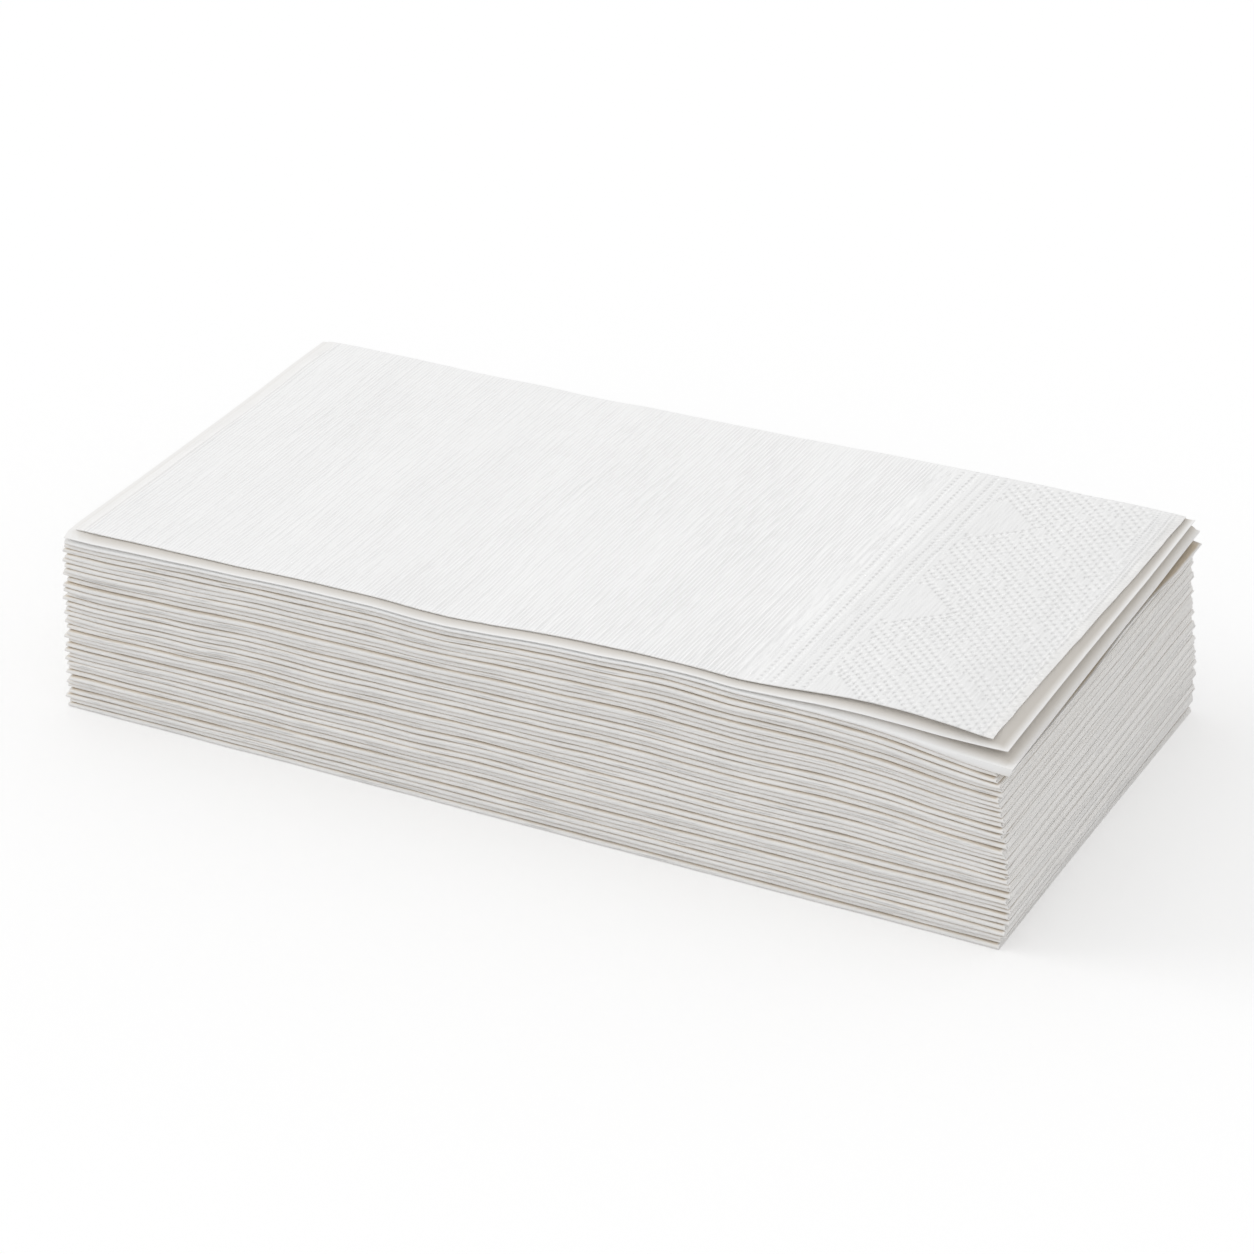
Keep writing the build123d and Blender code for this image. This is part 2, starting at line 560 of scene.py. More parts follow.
    # The right end of the stack sinks, most at its front corner
    corner = x.ramp(72 * MM, 103 * MM) * (y.ramp(52 * MM, -54 * MM) * 0.55 + 0.45)
    depth = height_share.math("POWER", 2.6) * corner
    held = 1.0 - first - second - third * 0.45 if turned_over else 1.0
    z = z - given["Corner Droop"] * depth * held

    # Painted shade: away from its folds and ends, the tissue between the napkins takes the warm,
    # darker shade colour
    tucked_shade = least(across, width - across, to_left, to_right)
    tucked_shade = tucked_shade.ramp(0.05 * MM, 0.7 * MM)
    if turned_over:
        # Each leaf rests against the one above it, and falls away from it at its loose edges
        end_share = share.math("POWER", 4.0)
        rims = []
        for lift, back_lift, end_lift, back_end_lift in TOP_LEAF_LIFTS:
            middle = back_lift + (lift - back_lift) * front_share
            end = back_end_lift + (end_lift - back_end_lift) * front_share
            rims.append(middle + (end - middle) * end_share)
        swell = x.ramp(5 * MM, 40 * MM) * 0.4 + x.ramp(38 * MM, 78 * MM) * 0.8
        swell = swell - x.ramp(80 * MM, 99 * MM) * 1.4
        left_curl = to_left.ramp(42 * MM, 0.0)
        behind = x.ramp(-25 * MM, -60 * MM) * 0.85 - x.ramp(-75 * MM, -100 * MM) * 0.5
        behind = (behind - x.ramp(48 * MM, 88 * MM) * 0.6) * back_share
        dip = (x.ramp(12 * MM, 38 * MM) - x.ramp(46 * MM, 74 * MM)) * front_share * front_share
        swell = swell * (front_share * 0.4 + 0.6) + left_curl * 0.8 + behind - dip * 0.95
        first_lift = rims[0] + swell * MM
        rise = front_share * (x.ramp(45 * MM, 72 * MM) - x.ramp(75 * MM, 100 * MM) * 0.67)
        second_rim = rims[1] + left_curl * (0.4 * MM) + rise * (0.9 * MM)
        inside = least(width - across, to_right)
        in_second = least(
            width - across - third * share.math("POWER", 8.0) * (1.8 * MM),
            to_right - third * (1.7 * MM - back_share * (0.5 * MM)),
        )
        under_first = in_second.ramp(0.25 * MM, end_share * (1.4 * MM) + 2.3 * MM)
        under_second = inside.ramp(0.2 * MM, end_share * (1.4 * MM) + 0.9 * MM)
        second_lift = second_rim + (first_lift - second_rim) * under_first
        third_lift = rims[2] + (second_lift - rims[2]) * under_second
        z = z + first * first_lift + second * second_lift + third * third_lift
        z = z + front_share.ramp(0.8, 1.0) * to_right.ramp(0.0, 30 * MM) * (0.15 * MM)
        curl = least(to_right, width - across).ramp(1.6 * MM, 0.0) * (second + third)
        z = z + curl * (0.25 * MM)
        # Painted shade on the strips of the lower leaves under the edge of the leaf above, warm
        # and darker
        shaded_strip = inside.ramp(0.5 * MM, 1.1 * MM) * (second + third) * to_left.ramp(0.0, 5 * MM)
        tucked_shade = shaded_strip * STRIP_SHADE_WARMTH + (1.0 - first - second - third) * tucked_shade
        work.store("shaded_strip", shaded_strip)
    work.place(x, y, z)
    work.store("tucked_shade", tucked_shade)
    work.store("end", least(to_right, to_left).ramp(3 * MM, 1 * MM))
    return work.finish()


def thicken(piece, thickness):
    """Give the sheet its leaf thickness."""
    shell = piece.modifiers.new("Leaf thickness", "SOLIDIFY")
    shell.thickness = thickness
    shell.offset = 0.0
    shell.use_rim = True


def dress(piece, *nodes):
    """The calls that every piece of the stack needs."""
    piece.data.shade_smooth()
    piece.data.set_sharp_from_angle(angle=SHARP_ANGLE)
    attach(piece, BODY)
    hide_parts(*nodes)


# Spacing of the stations along a lower napkin, and the closer ones near each end
LOWER_CELL = 1.7 * MM
LOWER_NEAR_END = (0.0, 0.2 * MM, 0.6 * MM, LOWER_CELL)


class NAPKINS_OT_lay_lower(Operator):
    """Lay every napkin under the top one"""

    bl_idname = "napkins.lay_lower"
    bl_label = "Lay Lower Napkins"

    def execute(self, context):
        sizes = context.scene.napkin_stack
        look = context.scene.tissue_look
        material = folds_material(look)
        tree = stack_tree(sizes, turned_over=False)
        places = stations(sizes.length, LOWER_CELL, LOWER_NEAR_END)
        sheet = FoldedSheet(sizes).mesh("folded sheet", places)
        for level, node in enumerate(NODES[:-1]):
            piece = linked("sheet", sheet.copy())
            use_tree(piece, tree, material, {"Level": level})
            thicken(piece, sizes.leaf)
            dress(baked(piece, f"folded_{node}"), node)
        bpy.data.meshes.remove(sheet)
        return {"FINISHED"}


# The napkin on top -----------------------------------------------------------------------


class BorderSizes(PropertyGroup):
    start: FloatProperty(
        name="Border start",
        description="Where the embossed border starts along the napkin",
        default=48.2 * MM,
        unit="LENGTH",
    )
    dot_pitch: FloatProperty(
        name="Dot pitch",
        description="Distance from one pressed dot to the next",
        default=1.55 * MM,
        unit="LENGTH",
    )
    dot_depth: FloatProperty(
        name="Dot depth",
        description="How deep the dots are pressed in",
        default=0.5 * MM,
        unit="LENGTH",
    )
    diamond_pitch: FloatProperty(
        name="Diamond pitch",
        description="Distance from one plain diamond to the next",
        default=41.6 * MM,
        unit="LENGTH",
    )
    diamond_reach: FloatProperty(
        name="Diamond reach",
        description="From the middle of a diamond to its tips",
        default=9.2 * MM,
        unit="LENGTH",
    )
    crepe_pitch: FloatProperty(
        name="Crepe pitch",
        description="Distance between the fine lines of the paper",
        default=0.78 * MM,
        unit="LENGTH",
    )
    crepe_depth: FloatProperty(
        name="Crepe depth",
        description="Depth of the fine lines of the paper",
        default=0.17 * MM,
        unit="LENGTH",
    )


BORDER_SEED = 5.0
DOT_SIZE_SHARE = 0.36

# Places in the border, from its start: its rows of dots, where they end, where the field of
# dotted lines begins, and the middle of the diamonds. Pairs are the two ends of a ramp.
ROWS = (1.5 * MM, 4.1 * MM, 8.5 * MM, 10.7 * MM)
SMALL_ROW = 6.4 * MM
ROWS_END = (11.9 * MM, 11.8 * MM)
FIELD_START = (12.3 * MM, 12.5 * MM)
DIAMOND_COLUMN = 14.2 * MM

# Across the leaf, the middle of one diamond. Round a diamond, the outline's distance from its
# edge, and where the field takes over.
DIAMOND_ROW = 32.5 * MM
OUTLINE_GAP = 0.7 * MM
DIAMOND_EDGE = (1.1 * MM, 1.3 * MM)

# The dotted lines, as shares of the dot pitch: distance between groups, and lines in a group
GROUP_SHARE = 3.5
LINE_SHARES = (0.0, 1.15, 2.3)
STRAY_SHARE = 2.9

# The knurl along the cut edge: where it starts, and how much it slants
KNURL_START = (93.5 * MM, 94.5 * MM)
KNURL_SLANT = 0.09

# The leaf on top: its cells, its cuts for the relief, and its thickness as a share of a leaf's
TOP_CELL = 3.2 * MM
TOP_NEAR_END = (0.0, 0.2 * MM, 0.7 * MM, 1.6 * MM, TOP_CELL)
TOP_EDGE_SHARES = (0.0, 0.0015, 0.006)
PLAIN_CUTS = 15
BORDER_CUTS = 9
TOP_THICKNESS_SHARE = 0.72


def dots(du, dv, size):
    """Round dots, from the distances to the middle of the nearest one, each in a shallow ring."""
    far = (du * du + dv * dv).math("SQRT")
    return far.ramp(size * 1.15, size * 0.1) * 1.2 - far.ramp(size * 1.9, size * 1.1) * 0.2


def border_dots(x, y, start, pitch, diamond_pitch, diamond_reach, seed):
    """1 in the pressed dots of the border and 0 between them, at a point of the leaf."""
    tree = x.tree
    size = pitch * DOT_SIZE_SHARE
    wobble = noise(tree, x / (6 * MM), y / (6 * MM), seed) * (0.2 * MM)
    u, v = x + wobble, y - wobble
    from_start = u - start
    dv = centred(v, pitch)
    small = dots(from_start - SMALL_ROW, centred(v, pitch * 0.66), size * 0.7)
    rows = most(small * 0.45, *(dots(from_start - place, dv, size) for place in ROWS))

    # Dotted lines at 45 degrees, with stray dots between them
    half_turn = math.sqrt(0.5)
    line_across, line_along = (u + v) * half_turn, (u - v) * half_turn
    group = pitch * GROUP_SHARE
    step = centred(line_along, pitch * 0.97)
    line, neighbour, apart = (
        dots(centred(line_across - pitch * share, group), step, size) for share in LINE_SHARES
    )
    kept = noise(tree, u / (4.5 * MM), v / (4.5 * MM), seed + 2.0).ramp(-0.12, -0.02)
    from_stray = centred(line_across - pitch * STRAY_SHARE, group)
    stray = dots(from_stray, centred(line_along, pitch * 2.0), size)
    lattice = most(line, neighbour, apart * kept, stray * (1.0 - kept) * 0.8)

    # Plain diamonds, each outlined by dots
    from_column = u - start - DIAMOND_COLUMN
    from_row = centred(v - DIAMOND_ROW, diamond_pitch)
    diamond = from_column.math("ABSOLUTE") + from_row.math("ABSOLUTE") - diamond_reach
    rising = (from_column * from_row).math("LESS_THAN", 0.0)
    edge_along = line_across * rising + line_along * (1.0 - rising)
    outline = dots((diamond - OUTLINE_GAP) * half_turn, centred(edge_along, pitch), size)
    outside = diamond.ramp(*DIAMOND_EDGE)
    outlined = outline.math("GREATER_THAN", 0.0)
    field = lattice * outside * (1.0 - outlined) + most(outline, lattice) * outlined
    field = field * from_start.ramp(*FIELD_START)

    # A finer knurl along the cut edge, widest at the back
    fine = pitch * 0.7
    knurl = dots(centred(u, fine), centred(v, fine), fine * 0.3) * 0.7
    knurl_share = (u + v * KNURL_SLANT).ramp(*KNURL_START)
    field = field * (1.0 - knurl_share) + knurl * knurl_share
    strength = 0.9 + 0.3 * noise(tree, x / (3 * MM), y / (3 * MM), seed + 3.0)
    in_rows = from_start.ramp(*ROWS_END)
    return (rows * in_rows + field * (1.0 - in_rows)) * strength


def crepe_lines(x, y, start, pitch, seed):
    """Fine uneven lines that run across the leaf, from about -1 to 1, weaker in the border."""
    tree = x.tree
    bend = noise(tree, x / (22 * MM), y / (30 * MM), seed + 6.0) * 0.5
    uneven = noise(tree, x / (pitch * 0.9), y / (6 * MM), seed + 7.0, detail=2.0)
    lines = (x / pitch * (2 * math.pi) + bend * 6.0 + uneven * 1.8).math("SINE")
    band = x.ramp(-60 * MM, 45 * MM) * 0.4 + 0.95
    patches = noise(tree, x / (17 * MM), y / (40 * MM), seed + 8.0) * 0.5 + 0.9
    calm = 1.0 - (x - start).ramp(-0.5 * MM, 0.5 * MM) * 0.4
    return (lines * 0.35 + uneven) * band * patches * calm


def border_tree(border):
    """Geometry Nodes that press crepe lines and the dotted border into the leaf on top."""
    numbers = {
        "Border Start": border.start,
        "Dot Pitch": border.dot_pitch,
        "Dot Depth": border.dot_depth,
        "Diamond Pitch": border.diamond_pitch,
        "Diamond Reach": border.diamond_reach,
        "Crepe Pitch": border.crepe_pitch,
        "Crepe Depth": border.crepe_depth,
        "Seed": BORDER_SEED,
    }
    work = SurfaceTree("Embossed leaf", numbers)
    tree, given = work.tree, work.given
    start, pitch, seed = given["Border Start"], given["Dot Pitch"], given["Seed"]
    position = tree.nodes.new("GeometryNodeInputPosition")
    x, y, _ = parted(tree, Field(tree, position.outputs[0]))
    face = read(tree, "face")
    shape = (start, pitch, given["Diamond Pitch"], given["Diamond Reach"], seed)
    pressed = border_dots(x, y, *shape)
    # Painted shade on the side of each dot that is turned from the light, and painted highlight on
    # the other side
    wall_shading = border_dots(x + 0.4 * MM, y + 0.1 * MM, *shape) - pressed
    crepe = crepe_lines(x, y, start, given["Crepe Pitch"], seed)
    hills = noise(tree, x / (11 * MM), y / (38 * MM), seed + 11.0, detail=2.0) * (0.2 * MM)
    bend = noise(tree, x / (22 * MM), y / (30 * MM), seed + 6.0) * (0.3 * MM)
    crease = (x - 45.8 * MM + bend).math("ABSOLUTE").ramp(1.3 * MM, 0.0)
    crease = crease * y.ramp(0.0, -30 * MM) * (-0.12 * MM)
    total = crepe * given["Crepe Depth"] - pressed * given["Dot Depth"] + crease
    total = total + hills * (1.0 - (x - start).ramp(-2 * MM, 4 * MM) * 0.6)
    rim = least(*(read(tree, key) for key in ("from_front", "from_side")))
    total = total * face * rim.ramp(0.0, 0.5 * MM) * read(tree, "across").ramp(0.5 * MM, 4 * MM)
    frayed = noise(tree, x / (0.45 * MM), y / (0.45 * MM), seed, detail=2.0) * (0.14 * MM)
    frayed = frayed * face * rim.ramp(0.6 * MM, 0.0)
    work.shift(joined(tree, frayed, frayed, total))
    work.store("pressed", pressed)
    work.store("wall_shading", wall_shading)
    work.store("crepe", crepe)
    return work.finish()


def refined(piece, sizes, border_start):
    """Split the upper face of the leaf on top finely enough for its relief."""
    mesh = piece.data
    work = bmesh.new()
    work.from_mesh(mesh)
    layers = {key: work.verts.layers.float[key] for key in ("first", "across", "along")}
    face_layer = work.verts.layers.float.new("face")
    front_layer = work.verts.layers.float.new("from_front")
    side_layer = work.verts.layers.float.new("from_side")
    for vert in work.verts:
        vert[front_layer] = sizes.width - vert[layers["across"]]
        vert[side_layer] = sizes.length / 2 - abs(vert[layers["along"]])
    upper = [
        face
        for face in work.faces
        if face.normal.z > 0.5 and all(vert[layers["first"]] > 0.999 for vert in face.verts)
    ]
    for face in upper:
        for vert in face.verts:
            vert[face_layer] = 1.0
    wide, lengthwise = set(), set()
    for face in upper:
        middle = face.calc_center_median()
        for edge in face.edges:
            run = edge.verts[0].co - edge.verts[1].co
            if edge.calc_length() < TOP_CELL / 3:
                continue
            if middle.x > border_start - TOP_CELL:
                wide.add(edge)
            elif abs(run.x) > abs(run.y):
                lengthwise.add(edge)
    plain = list(lengthwise - wide)
    bmesh.ops.subdivide_edges(work, edges=plain, cuts=PLAIN_CUTS, use_grid_fill=True)
    bmesh.ops.subdivide_edges(work, edges=list(wide), cuts=BORDER_CUTS, use_grid_fill=True)
    work.to_mesh(mesh)
    work.free()


class NAPKINS_OT_lay_top(Operator):
    """Lay the turned-over napkin with the open, embossed leaf"""

    bl_idname = "napkins.lay_top"
    bl_label = "Lay Top Napkin"

    def execute(self, context):
        sizes = context.scene.napkin_stack
        border = context.scene.napkin_border
        look = context.scene.tissue_look
        material = leaf_material(look, border)
        leaf_rows = np.linspace(0, 1, round(sizes.width / TOP_CELL) + 1)
        leaf_rows = np.concatenate([TOP_EDGE_SHARES, leaf_rows[1:]])
        places = stations(sizes.length, TOP_CELL, TOP_NEAR_END)
        sheet = FoldedSheet(sizes, leaf_rows).mesh("top sheet", places)
        piece = linked("sheet", sheet)
        use_tree(piece, stack_tree(sizes, True), material, {"Level": len(NODES) - 1})
        thicken(piece, sizes.leaf * TOP_THICKNESS_SHARE)
        piece = baked(piece, "sheet")
        refined(piece, sizes, border.start)
        use_tree(piece, border_tree(border), material, {})
        dress(baked(piece, f"turned_{NODES[-1]}"), NODES[-1])
        return {"FINISHED"}


# Paper -----------------------------------------------------------------------------------


class TissueLook(PropertyGroup):
    paper: FloatVectorProperty(
        name="Paper",
        description="Colour of the leaf on top",
        default=(0.96, 0.959, 0.956),
        size=3,
        subtype="COLOR",
    )
    folds: FloatVectorProperty(
        name="Folds",
        description="Colour of the folded napkins, a little warmer than the leaf on top",
        default=(0.945, 0.941, 0.934),
        size=3,
        subtype="COLOR",
    )
    # Painted shade: the warm, darker colour painted on the tissue between the napkins, on the
    # strips under the lifted leaves and a little at the cut ends
    tucked_shade: FloatVectorProperty(
        name="Tucked paper",
        description="Colour of the tissue deep between the napkins, where light turns warm",
        default=(0.66, 0.56, 0.43),
        size=3,
        subtype="COLOR",
    )
    roughness: FloatProperty(
        name="Roughness", description="Roughness of the tissue", default=0.95, subtype="FACTOR"
    )
    sheen: FloatProperty(
        name="Sheen", description="Soft glow of the fibres", default=0.15, subtype="FACTOR"
    )


FIBRE_LENGTHS = ("Length X", "Length Y", "Length Z")


def fibre_group():
    """Shader nodes for loose fibres: a height and a patchy shade from a scaled coordinate."""
    name = "Paper fibres"
    found = bpy.data.node_groups.get(name)
    if found:
        return found
    tree = bpy.data.node_groups.new(name, "ShaderNodeTree")
    face = tree.interface
    for label, kind, default in (
        ("Coordinate", "NodeSocketVector", (0, 0, 0)),
        ("Width", "NodeSocketFloat", 0.2 * MM),
        *((label, "NodeSocketFloat", 1.0) for label in FIBRE_LENGTHS),
    ):
        face.new_socket(label, in_out="INPUT", socket_type=kind).default_value = default
    face.new_socket("Height", in_out="OUTPUT", socket_type="NodeSocketFloat")
    face.new_socket("Shade", in_out="OUTPUT", socket_type="NodeSocketFloat")
    entry = tree.nodes.new("NodeGroupInput")
    leave = tree.nodes.new("NodeGroupOutput")
    given = {socket.name: Field(tree, socket) for socket in entry.outputs if socket.name}
    x, y, z = parted(tree, given["Coordinate"])
    scaled = [
        part / (given["Width"] * given[label]) for part, label in zip((x, y, z), FIBRE_LENGTHS)
    ]
    fine = noise(tree, *scaled, detail=3.0)
    patches = noise(tree, x / (9 * MM), y / (9 * MM), z / (3 * MM), detail=2.0)
    height = fine * (0.8 + patches * 0.3)
    shade = fine * 0.5 + patches * 0.5
    tree.links.new(height.socket, leave.inputs["Height"])
    tree.links.new(shade.socket, leave.inputs["Shade"])
    return tree


def fibres(tree, coordinate, width, lengths):
    node = tree.nodes.new("ShaderNodeGroup")
    node.node_tree = fibre_group()
    feed(tree, node.inputs["Coordinate"], coordinate)
    node.inputs["Width"].default_value = width
    for label, value in zip(FIBRE_LENGTHS, lengths):
        node.inputs[label].default_value = value
    return Field(tree, node.outputs["Height"]), Field(tree, node.outputs["Shade"])


def painted(tree, name):
    """A float attribute, read inside a material."""
    node = tree.nodes.new("ShaderNodeAttribute")
    node.attribute_name = name
    return Field(tree, node.outputs["Fac"])


def mixed(tree, share, first, second):
    node = tree.nodes.new("ShaderNodeMix")
    node.data_type = "RGBA"
    feed(tree, node.inputs["Factor"], share)
    for label, value in (("A", first), ("B", second)):
        socket = next(s for s in node.inputs if s.name == label and s.type == "RGBA")
        feed(tree, socket, (*value, 1.0) if isinstance(value, tuple) else value)
    return Field(tree, next(s for s in node.outputs if s.type == "RGBA"))


# How much of the warm painted shade the napkins' ends take, how dark the shade's colour is, and
# how much of it the shade and the strips under the lifted leaves take
END_SHADE_WARMTH = 0.07
DARKER_SHARE = 0.6
SHADE_STRENGTH = 0.42
STRIP_SHADE = 0.4
SPECULAR_LEVEL = 0.2


def paper_material(name, look, paper, relief):
    """Tissue paper. Relief gives the heights in metres and a shade from -1 to 1."""
    material = bpy.data.materials.new(name)
    material.use_nodes = True
    tree = material.node_tree
    shader = next(node for node in tree.nodes if node.type == "BSDF_PRINCIPLED")
    coordinate = tree.nodes.new("ShaderNodeTexCoord")
    height, shade = relief(tree, Field(tree, coordinate.outputs["Object"]))
    # Painted shade: the warm, darker colour between the napkins and on the strips, and a little of
    # it at the cut ends
    warm = painted(tree, "tucked_shade") + painted(tree, "end") * END_SHADE_WARMTH
    colour = mixed(tree, warm, tuple(paper), tuple(look.tucked_shade))
    darker = tuple(part * DARKER_SHARE for part in paper)
    # The shade mixes the fibres' patchy tone with painted shade and highlight from the relief, and
    # the strips take more painted shade
    shade = (shade * 0.5 + 0.2).ramp(0.0, 1.4, smooth=False) * SHADE_STRENGTH
    colour = mixed(tree, shade + painted(tree, "shaded_strip") * STRIP_SHADE, colour, darker)
    feed(tree, shader.inputs["Base Color"], colour)
    shader.inputs["Roughness"].default_value = look.roughness
    shader.inputs["Sheen Weight"].default_value = look.sheen
    shader.inputs["Specular IOR Level"].default_value = SPECULAR_LEVEL
    bump = tree.nodes.new("ShaderNodeBump")
    bump.inputs["Distance"].default_value = 1.0
    feed(tree, bump.inputs["Height"], height)
    tree.links.new(bump.outputs["Normal"], shader.inputs["Normal"])
    return material


def folds_material(look):
    """Streaks along the folds, here and there a warm crease that is dented and darkened with
    painted shade, and plainer cut ends.
    """

    def relief(tree, coordinate):
        x, _, z = parted(tree, coordinate)
        streaks, shade = fibres(tree, coordinate, 0.16 * MM, (9.0, 1.2, 1.0))
        place = noise(tree, x / (30 * MM), z / (1.3 * MM), 7.0) * 0.9 + 2.6
        # A crease here and there: a dent in the height and painted shade in the colour
        crease_and_shade = (painted(tree, "leaf") - place).math("ABSOLUTE").ramp(0.28, 0.0)
        crease_and_shade = crease_and_shade * noise(tree, x / (12 * MM), z / (2.2 * MM), 9.0).ramp(0.0, 0.4)
        streaks, shade = streaks - crease_and_shade * 1.5, shade + crease_and_shade * 0.5
        ends, end_shade = fibres(tree, coordinate, 0.16 * MM, (1.2, 40.0, 1.4))
        end = painted(tree, "end")
        height = streaks * (1.0 - end) + ends * end * 0.2
        return height * (0.08 * MM), shade * (1.0 - end) * 1.4 + end_shade * end * 0.15

    return paper_material("Tissue folds", look, look.folds, relief)


def leaf_material(look, border):
    """Painted shade darkens the crepe valleys and the dot walls turned from the light, painted
    highlight lightens the crests and the other walls, and the border is a little darker.
    """

    def relief(tree, coordinate):
        x = parted(tree, coordinate)[0]
        keys = ("face", "pressed", "wall_shading", "crepe")
        face, pressed, wall_shading, crepe = (painted(tree, key) for key in keys)
        loose, shade = fibres(tree, coordinate, 0.2 * MM, (1.0, 2.2, 2.0))
        ground = (x - border.start).ramp(-2 * MM, 9 * MM)
        # Fibre tone, painted shade and highlight on the crepe and on the dots' walls, and a darker
        # border
        shade = shade * 0.4 - 0.1 - crepe * 0.6 + wall_shading * 2.6 + ground * 0.8
        height = crepe * (0.06 * MM) - pressed * (0.12 * MM)
        return height * face + loose * (0.03 * MM), shade * face

    return paper_material("Tissue leaf", look, look.paper, relief)


# The stage -------------------------------------------------------------------------------


# The photograph's view: angles in degrees, the point it looks at, and its lens in pixels
CAMERA_AZIMUTH, CAMERA_ELEVATION, CAMERA_ROLL = 26.09, 27.58, 0.75
CAMERA_TARGET = (-16.73 * MM, 31.45 * MM, 0.0)
CAMERA_DISTANCE = 911.3 * MM
LENS_PIXELS = 4370
PHOTO_PIXELS = 1254
SENSOR_WIDTH = 36.0
FLOOR_REACH = 4.0


class StageLook(PropertyGroup):
    floor: FloatVectorProperty(
        name="Floor",
        description="Colour of the floor",
        default=(1.0, 1.0, 1.0),
        size=3,
        subtype="COLOR",
    )
    floor_lit: FloatProperty(
        name="Floor lit",
        description="Share of the floor's white that comes from the light",
        default=0.72,
        subtype="FACTOR",
    )
    floor_glow: FloatProperty(
        name="Floor glow",
        description="Share of the floor's white that no shadow reaches",
        default=0.32,
        subtype="FACTOR",
    )
    bounce: FloatProperty(
        name="Floor bounce",
        description="How white the floor is for the light that it throws back",
        default=0.68,
        subtype="FACTOR",
    )
    sky: FloatProperty(
        name="Sky strength", description="Even light from all round", default=0.85
    )
    lamp: FloatProperty(
        name="Lamp strength",
        description="Soft low light from the left",
        default=0.75,
    )
    lamp_spread: FloatProperty(
        name="Lamp spread",
        description="How wide the lamp is",
        default=math.radians(38),
        subtype="ANGLE",
    )
    lamp_elevation: FloatProperty(
        name="Lamp elevation",
        description="How high the lamp is",
        default=math.radians(24),
        subtype="ANGLE",
    )
    lamp_azimuth: FloatProperty(
        name="Lamp azimuth",
        description="Where the lamp is, round the stack",
        default=math.radians(195),
        subtype="ANGLE",
    )


def seen_directly(tree):
    """1 for what the camera, a reflection or glass sees, and 0 for the light on a surface."""
    path = tree.nodes.new("ShaderNodeLightPath")
    kinds = ("Is Camera Ray", "Is Glossy Ray", "Is Transmission Ray")
    return most(*(Field(tree, path.outputs[kind]) for kind in kinds))


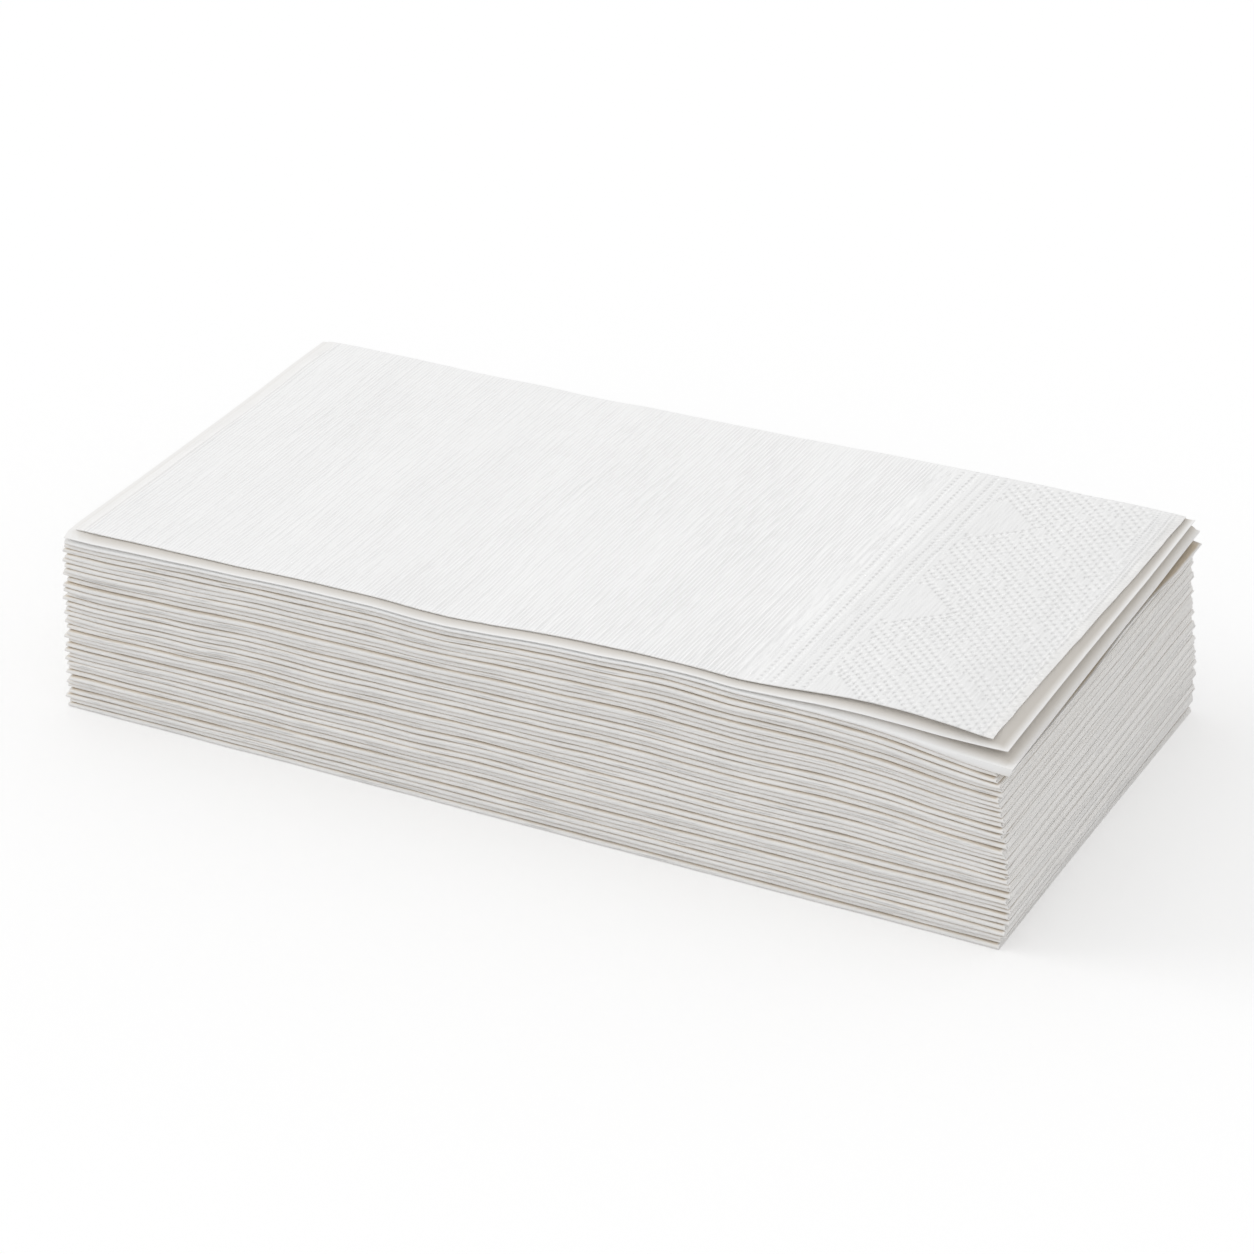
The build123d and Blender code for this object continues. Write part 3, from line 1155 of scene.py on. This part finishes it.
class NAPKINS_OT_set_stage(Operator):
    """Make the floor, the light and the camera"""

    bl_idname = "napkins.set_stage"
    bl_label = "Set Stage"

    def execute(self, context):
        look = context.scene.stage_look
        self.make_floor(look)
        self.make_light(context, look)
        self.make_camera(context)
        context.scene.view_settings.view_transform = "Standard"
        return {"FINISHED"}

    def make_floor(self, look):
        mesh = bpy.data.meshes.new("floor")
        reach = FLOOR_REACH
        corners = [(-reach, -reach, 0), (reach, -reach, 0), (reach, reach, 0), (-reach, reach, 0)]
        mesh.from_pydata(corners, [], [(0, 1, 2, 3)])
        floor = linked("floor", mesh)
        material = bpy.data.materials.new("Pale floor")
        material.use_nodes = True
        tree = material.node_tree
        shader = next(node for node in tree.nodes if node.type == "BSDF_PRINCIPLED")
        seen = seen_directly(tree)
        bare = tuple(part * look.floor_lit for part in look.floor)
        feed(tree, shader.inputs["Base Color"], mixed(tree, seen, (look.bounce,) * 3, bare))
        glow = mixed(tree, seen, (0.0, 0.0, 0.0), tuple(look.floor))
        feed(tree, shader.inputs["Emission Color"], glow)
        shader.inputs["Emission Strength"].default_value = look.floor_glow
        shader.inputs["Roughness"].default_value = 1.0
        shader.inputs["Specular IOR Level"].default_value = 0.0
        mesh.materials.append(material)

    def make_light(self, context, look):
        world = bpy.data.worlds.new("Studio")
        context.scene.world = world
        world.use_nodes = True
        tree = world.node_tree
        tree.nodes.clear()
        light = tree.nodes.new("ShaderNodeBackground")
        light.inputs["Strength"].default_value = look.sky
        seen = tree.nodes.new("ShaderNodeBackground")
        mix = tree.nodes.new("ShaderNodeMixShader")
        leave = tree.nodes.new("ShaderNodeOutputWorld")
        for node in (light, seen):
            node.inputs["Color"].default_value = (1.0, 1.0, 1.0, 1.0)
        feed(tree, mix.inputs[0], seen_directly(tree))
        tree.links.new(light.outputs[0], mix.inputs[1])
        tree.links.new(seen.outputs[0], mix.inputs[2])
        tree.links.new(mix.outputs[0], leave.inputs["Surface"])
        lamp = bpy.data.lights.new("Soft lamp", "SUN")
        lamp.energy = look.lamp
        lamp.angle = look.lamp_spread
        up, out = math.sin(look.lamp_elevation), math.cos(look.lamp_elevation)
        towards = Vector(
            (out * math.cos(look.lamp_azimuth), out * math.sin(look.lamp_azimuth), up)
        )
        holder = linked("soft_lamp", lamp)
        holder.rotation_euler = towards.to_track_quat("Z", "Y").to_euler()

    def make_camera(self, context):
        """The photograph's view: a long lens from the front right, a little tilted."""
        angles = (CAMERA_AZIMUTH, CAMERA_ELEVATION, CAMERA_ROLL)
        azimuth, elevation, roll = (math.radians(angle) for angle in angles)
        back = Vector(
            (
                math.sin(azimuth) * math.cos(elevation),
                -math.cos(azimuth) * math.cos(elevation),
                math.sin(elevation),
            )
        )
        right = Vector((math.cos(azimuth), math.sin(azimuth), 0))
        up = back.cross(right)
        across = right * math.cos(roll) + up * math.sin(roll)
        upright = up * math.cos(roll) - right * math.sin(roll)
        place = Vector(CAMERA_TARGET) + back * CAMERA_DISTANCE
        lens = bpy.data.cameras.new("Camera")
        lens.sensor_width = SENSOR_WIDTH
        lens.lens = LENS_PIXELS / PHOTO_PIXELS * SENSOR_WIDTH
        lens.clip_start, lens.clip_end = 0.05, 20.0
        camera = linked("Camera", lens)
        turned = Matrix((across, upright, back)).transposed().to_4x4()
        camera.matrix_world = Matrix.Translation(place) @ turned
        context.scene.camera = camera


# The add-on ------------------------------------------------------------------------------


class NAPKINS_PT_panel(Panel):
    """Sizes, looks and steps of the napkin stack"""

    bl_label = "Napkins"
    bl_idname = "NAPKINS_PT_panel"
    bl_space_type = "VIEW_3D"
    bl_region_type = "UI"
    bl_category = "Napkins"

    def draw(self, context):
        for group in ("napkin_stack", "napkin_border", "tissue_look", "stage_look"):
            box = self.layout.box()
            values = getattr(context.scene, group)
            for key in values.bl_rna.properties.keys():
                if key not in ("rna_type", "name"):
                    box.prop(values, key)
        for operator in OPERATORS:
            self.layout.operator(operator.bl_idname)


OPERATORS = (NAPKINS_OT_set_stage, NAPKINS_OT_lay_lower, NAPKINS_OT_lay_top)
GROUPS = {
    "napkin_stack": StackSizes,
    "napkin_border": BorderSizes,
    "tissue_look": TissueLook,
    "stage_look": StageLook,
}
CLASSES = (*GROUPS.values(), *OPERATORS, NAPKINS_PT_panel)


def register():
    for item in CLASSES:
        bpy.utils.register_class(item)
    for name, group in GROUPS.items():
        setattr(bpy.types.Scene, name, PointerProperty(type=group))


def unregister():
    for name in GROUPS:
        delattr(bpy.types.Scene, name)
    for item in reversed(CLASSES):
        bpy.utils.unregister_class(item)


def main():
    register()
    bpy.ops.napkins.set_stage()
    bpy.ops.napkins.lay_lower()
    bpy.ops.napkins.lay_top()


if __name__ == "__main__":
    main()
